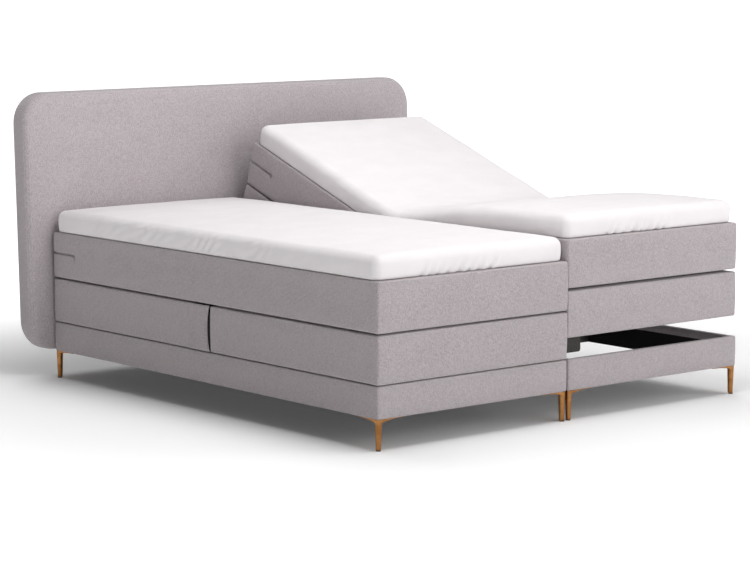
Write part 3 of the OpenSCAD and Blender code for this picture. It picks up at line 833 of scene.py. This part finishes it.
def headboard():
    """A padded panel with rounded corners; its fabric is turned over the board behind."""
    low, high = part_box("headboard_cover")
    width = high[0] - low[0]
    leant = HEADBOARD_THICK * math.sin(HEADBOARD_LEAN)
    height = (high[2] - low[2] - leant) / math.cos(HEADBOARD_LEAN)
    corner, front, back = HEADBOARD_CORNER, HEADBOARD_ROUND, HEADBOARD_BACK_ROUND
    thick, rear = HEADBOARD_THICK, HEADBOARD_THICK + CLOTH_THICK
    arc = [math.radians(a) for a in (0, 15, 30, 45, 60, 75, 90)]
    profile = [(HEADBOARD_HEM, thick - 0.003), (HEADBOARD_HEM - 0.001, rear)]
    profile += [(back - back * math.sin(a), rear - back + back * math.cos(a)) for a in arc]
    profile += [(front - front * math.cos(a), front - front * math.sin(a)) for a in arc]
    for k in range(1, 7):
        inset = front + (corner - front) * k / 6
        profile.append((inset, -HEADBOARD_CROWN * math.sin(math.pi / 2 * k / 6)))
    rings = []
    for inset, depth in profile:
        flat = ring((-width / 2, 0), (width / 2, height), inset, corner, per_side=40, per_corner=12)
        rings.append(np.column_stack([flat[:, 0], np.full(len(flat), depth), flat[:, 1]]))
    points = np.concatenate(rings)
    count = len(rings[0])
    faces = loft(len(rings), count) + [tuple(range(len(points) - count, len(points)))]
    mesh = plain_mesh("headboard_padding", lean_back(points).tolist(), faces)
    mark_cloth(mesh, points)
    piece = new_object("headboard_padding", mesh)
    dress(piece, "fabric")
    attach(piece, "base")
    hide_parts("headboard_cover")


def lean_back(p):
    """Headboard points, upright with y 0 at the front, leant back in their place."""
    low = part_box("headboard_cover")[0]
    c, s = math.cos(HEADBOARD_LEAN), math.sin(HEADBOARD_LEAN)
    y = low[1] + p[:, 1] * c + p[:, 2] * s
    z = low[2] + HEADBOARD_THICK * s - p[:, 1] * s + p[:, 2] * c
    return np.stack([p[:, 0], y, z], 1)


def leg(name, x, y, way_x, way_y, top, bottom):
    """A tapered post with two slim arms that sweep out along the edges of the base."""
    around = 28
    inset = POST_HIGH + 0.0005
    cx, cy = x + way_x * inset, y + way_y * inset
    profile = [(POST_LOW - 0.001, bottom), (POST_LOW, bottom + 0.0012)]
    for t in (0.25, 0.5, 0.75, 0.97):
        profile.append((POST_LOW + (POST_HIGH - POST_LOW) * t, bottom + (top - bottom) * t))
    profile.append((POST_HIGH, top))
    angles = [2 * math.pi * k / around for k in range(around)]
    points = [(cx + r * math.cos(a), cy + r * math.sin(a), z) for r, z in profile for a in angles]
    faces = loft(len(profile), around) + [tuple(reversed(range(around)))]
    steps = 14
    for along_x in (True, False):
        first = len(points)
        for k in range(steps + 1):
            outline = arm_outline(k / steps, top)
            out = inset + (ARM_REACH - inset) * k / steps
            for side, z in outline:
                place = (x + way_x * out, cy + side) if along_x else (cx + side, y + way_y * out)
                points.append((*place, z))
        size = len(outline)
        faces += loft(steps + 1, size, first)
        faces.append(tuple(first + steps * size + i for i in range(size)))
    mesh = plain_mesh(name, points, faces)
    piece = new_object(name, mesh)
    mesh.set_sharp_from_angle(angle=math.radians(35))
    fix_normals(mesh)
    dress(piece, "copper")
    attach(piece, "base")
    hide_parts("legs")


def arm_outline(t, top):
    """Cross-section (side, z) of a leg's arm, from t 0 at the post to 1 at its tip."""
    depth = 0.0022 + 0.0125 * (1 - t) ** 2.6
    half = POST_HIGH * (1 - 0.35 * t) - 0.0006
    edge, low = 0.0012, top - depth
    left = [(-half, top), (-half, low + edge), (-half + edge, low)]
    return left + [(half - edge, low), (half, low + edge), (half, top)]


def fix_normals(mesh):
    """Turns every face outwards."""
    work = bmesh.new()
    work.from_mesh(mesh)
    bmesh.ops.recalc_face_normals(work, faces=work.faces)
    work.to_mesh(mesh)
    work.free()


def legs():
    glide_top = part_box("glides")[1][2]
    for bed in BEDS:
        for end, y, way_y in (("foot", bed.low[1], 1), ("head", bed.high[1], -1)):
            for edge, x, way_x in (("a", bed.low[0], 1), ("b", bed.high[0], -1)):
                leg(f"leg_{bed.side}_{end}_{edge}", x, y, way_x, way_y, bed.low[2], glide_top)


# ---------------------------------------------------------------- studio


def studio():
    add_floor()
    add_walls()
    for name, (place, size, energy) in SOFT_LIGHTS.items():
        lamp = bpy.data.lights.new(name, "AREA")
        lamp.shape, lamp.size, lamp.energy = "DISK", size, energy
        add_light(lamp, place, (0, 0, 0.5))
    for name, (place, angle, strength) in FAR_LIGHTS.items():
        lamp = bpy.data.lights.new(name, "SUN")
        lamp.angle, lamp.energy = math.radians(angle), strength
        add_light(lamp, place, (0, 0, 0))

    camera = new_object("camera", bpy.data.cameras.new("camera"))
    camera.location = CAMERA_PLACE
    camera.rotation_euler = [math.radians(a) for a in CAMERA_TURN]
    camera.data.sensor_width = 36
    camera.data.lens = CAMERA_LENS
    bpy.context.scene.camera = camera
    bpy.context.scene.view_settings.view_transform = "Standard"


def add_floor():
    """A pale studio floor that glows with its own painted light: dim round the beds, white further out."""
    size = 60
    corners = [(-size, -size, 0), (size, -size, 0), (size, size, 0), (-size, size, 0)]
    mesh = bpy.data.meshes.new("floor")
    mesh.from_pydata(corners, [], [(0, 1, 2, 3)])
    floor = new_object("floor", mesh)
    pale = Nodes("pale_floor", "object")
    tint = pale.noise(0.7, 2)
    colour = pale.ramp(tint, (0.3, (0.93, 0.93, 0.93)), (0.7, (0.95, 0.95, 0.95)))
    offset = pale.add("ShaderNodeVectorMath", {0: pale.place, 1: DIM_FLOOR}, operation="SUBTRACT")
    span = pale.add("ShaderNodeVectorMath", {0: offset.outputs[0]}, operation="LENGTH")
    inputs = {"Value": span.outputs["Value"], "From Min": DIM_START, "From Max": DIM_END}
    inputs["To Min"] = DIM_SHARE
    far = pale.add("ShaderNodeMapRange", inputs, interpolation_type="SMOOTHSTEP")
    # Painted light: the floor's emission is a small share near the beds and grows to full further out.
    glow = pale.add("ShaderNodeMath", {0: far.outputs[0], 1: FLOOR_LIGHT}, operation="MULTIPLY")
    pale.set(Base_Color=colour, Roughness=0.9, Specular_IOR_Level=0.1)
    pale.set(Emission_Color=(1, 1, 1, 1), Emission_Strength=glow.outputs[0])
    mesh.materials.append(pale.material)


def add_walls():
    """White walls round the studio, up to a ceiling of soft light."""
    world = bpy.data.worlds.new("studio")
    bpy.context.scene.world = world
    world.use_nodes = True
    nodes, links = world.node_tree.nodes, world.node_tree.links
    background = nodes["Background"]
    background.inputs["Color"].default_value = (1, 1, 1, 1)
    direction = nodes.new("ShaderNodeTexCoord")
    parts = nodes.new("ShaderNodeSeparateXYZ")
    height = nodes.new("ShaderNodeMapRange")
    height.interpolation_type = "SMOOTHSTEP"
    low, high = WALL_TOP
    limits = {"From Min": low, "From Max": high, "To Min": WALL_LIGHT, "To Max": WORLD_LIGHT}
    for socket, value in limits.items():
        height.inputs[socket].default_value = value
    links.new(direction.outputs["Generated"], parts.inputs[0])
    links.new(parts.outputs["Z"], height.inputs["Value"])
    links.new(height.outputs[0], background.inputs["Strength"])


def add_light(lamp, place, target):
    light = new_object(lamp.name, lamp)
    light.location = place
    way = Vector(target) - light.location
    light.rotation_euler = way.to_track_quat("-Z", "Y").to_euler()


# ---------------------------------------------------------------- the bed

studio()
finish_cad_nodes()
headboard()
legs()
for bed in BEDS:
    base_cover(bed)
    leg_box(bed)
    back_box(bed)
    hinge_flaps(bed)
    mattress(bed)
    topper(bed)
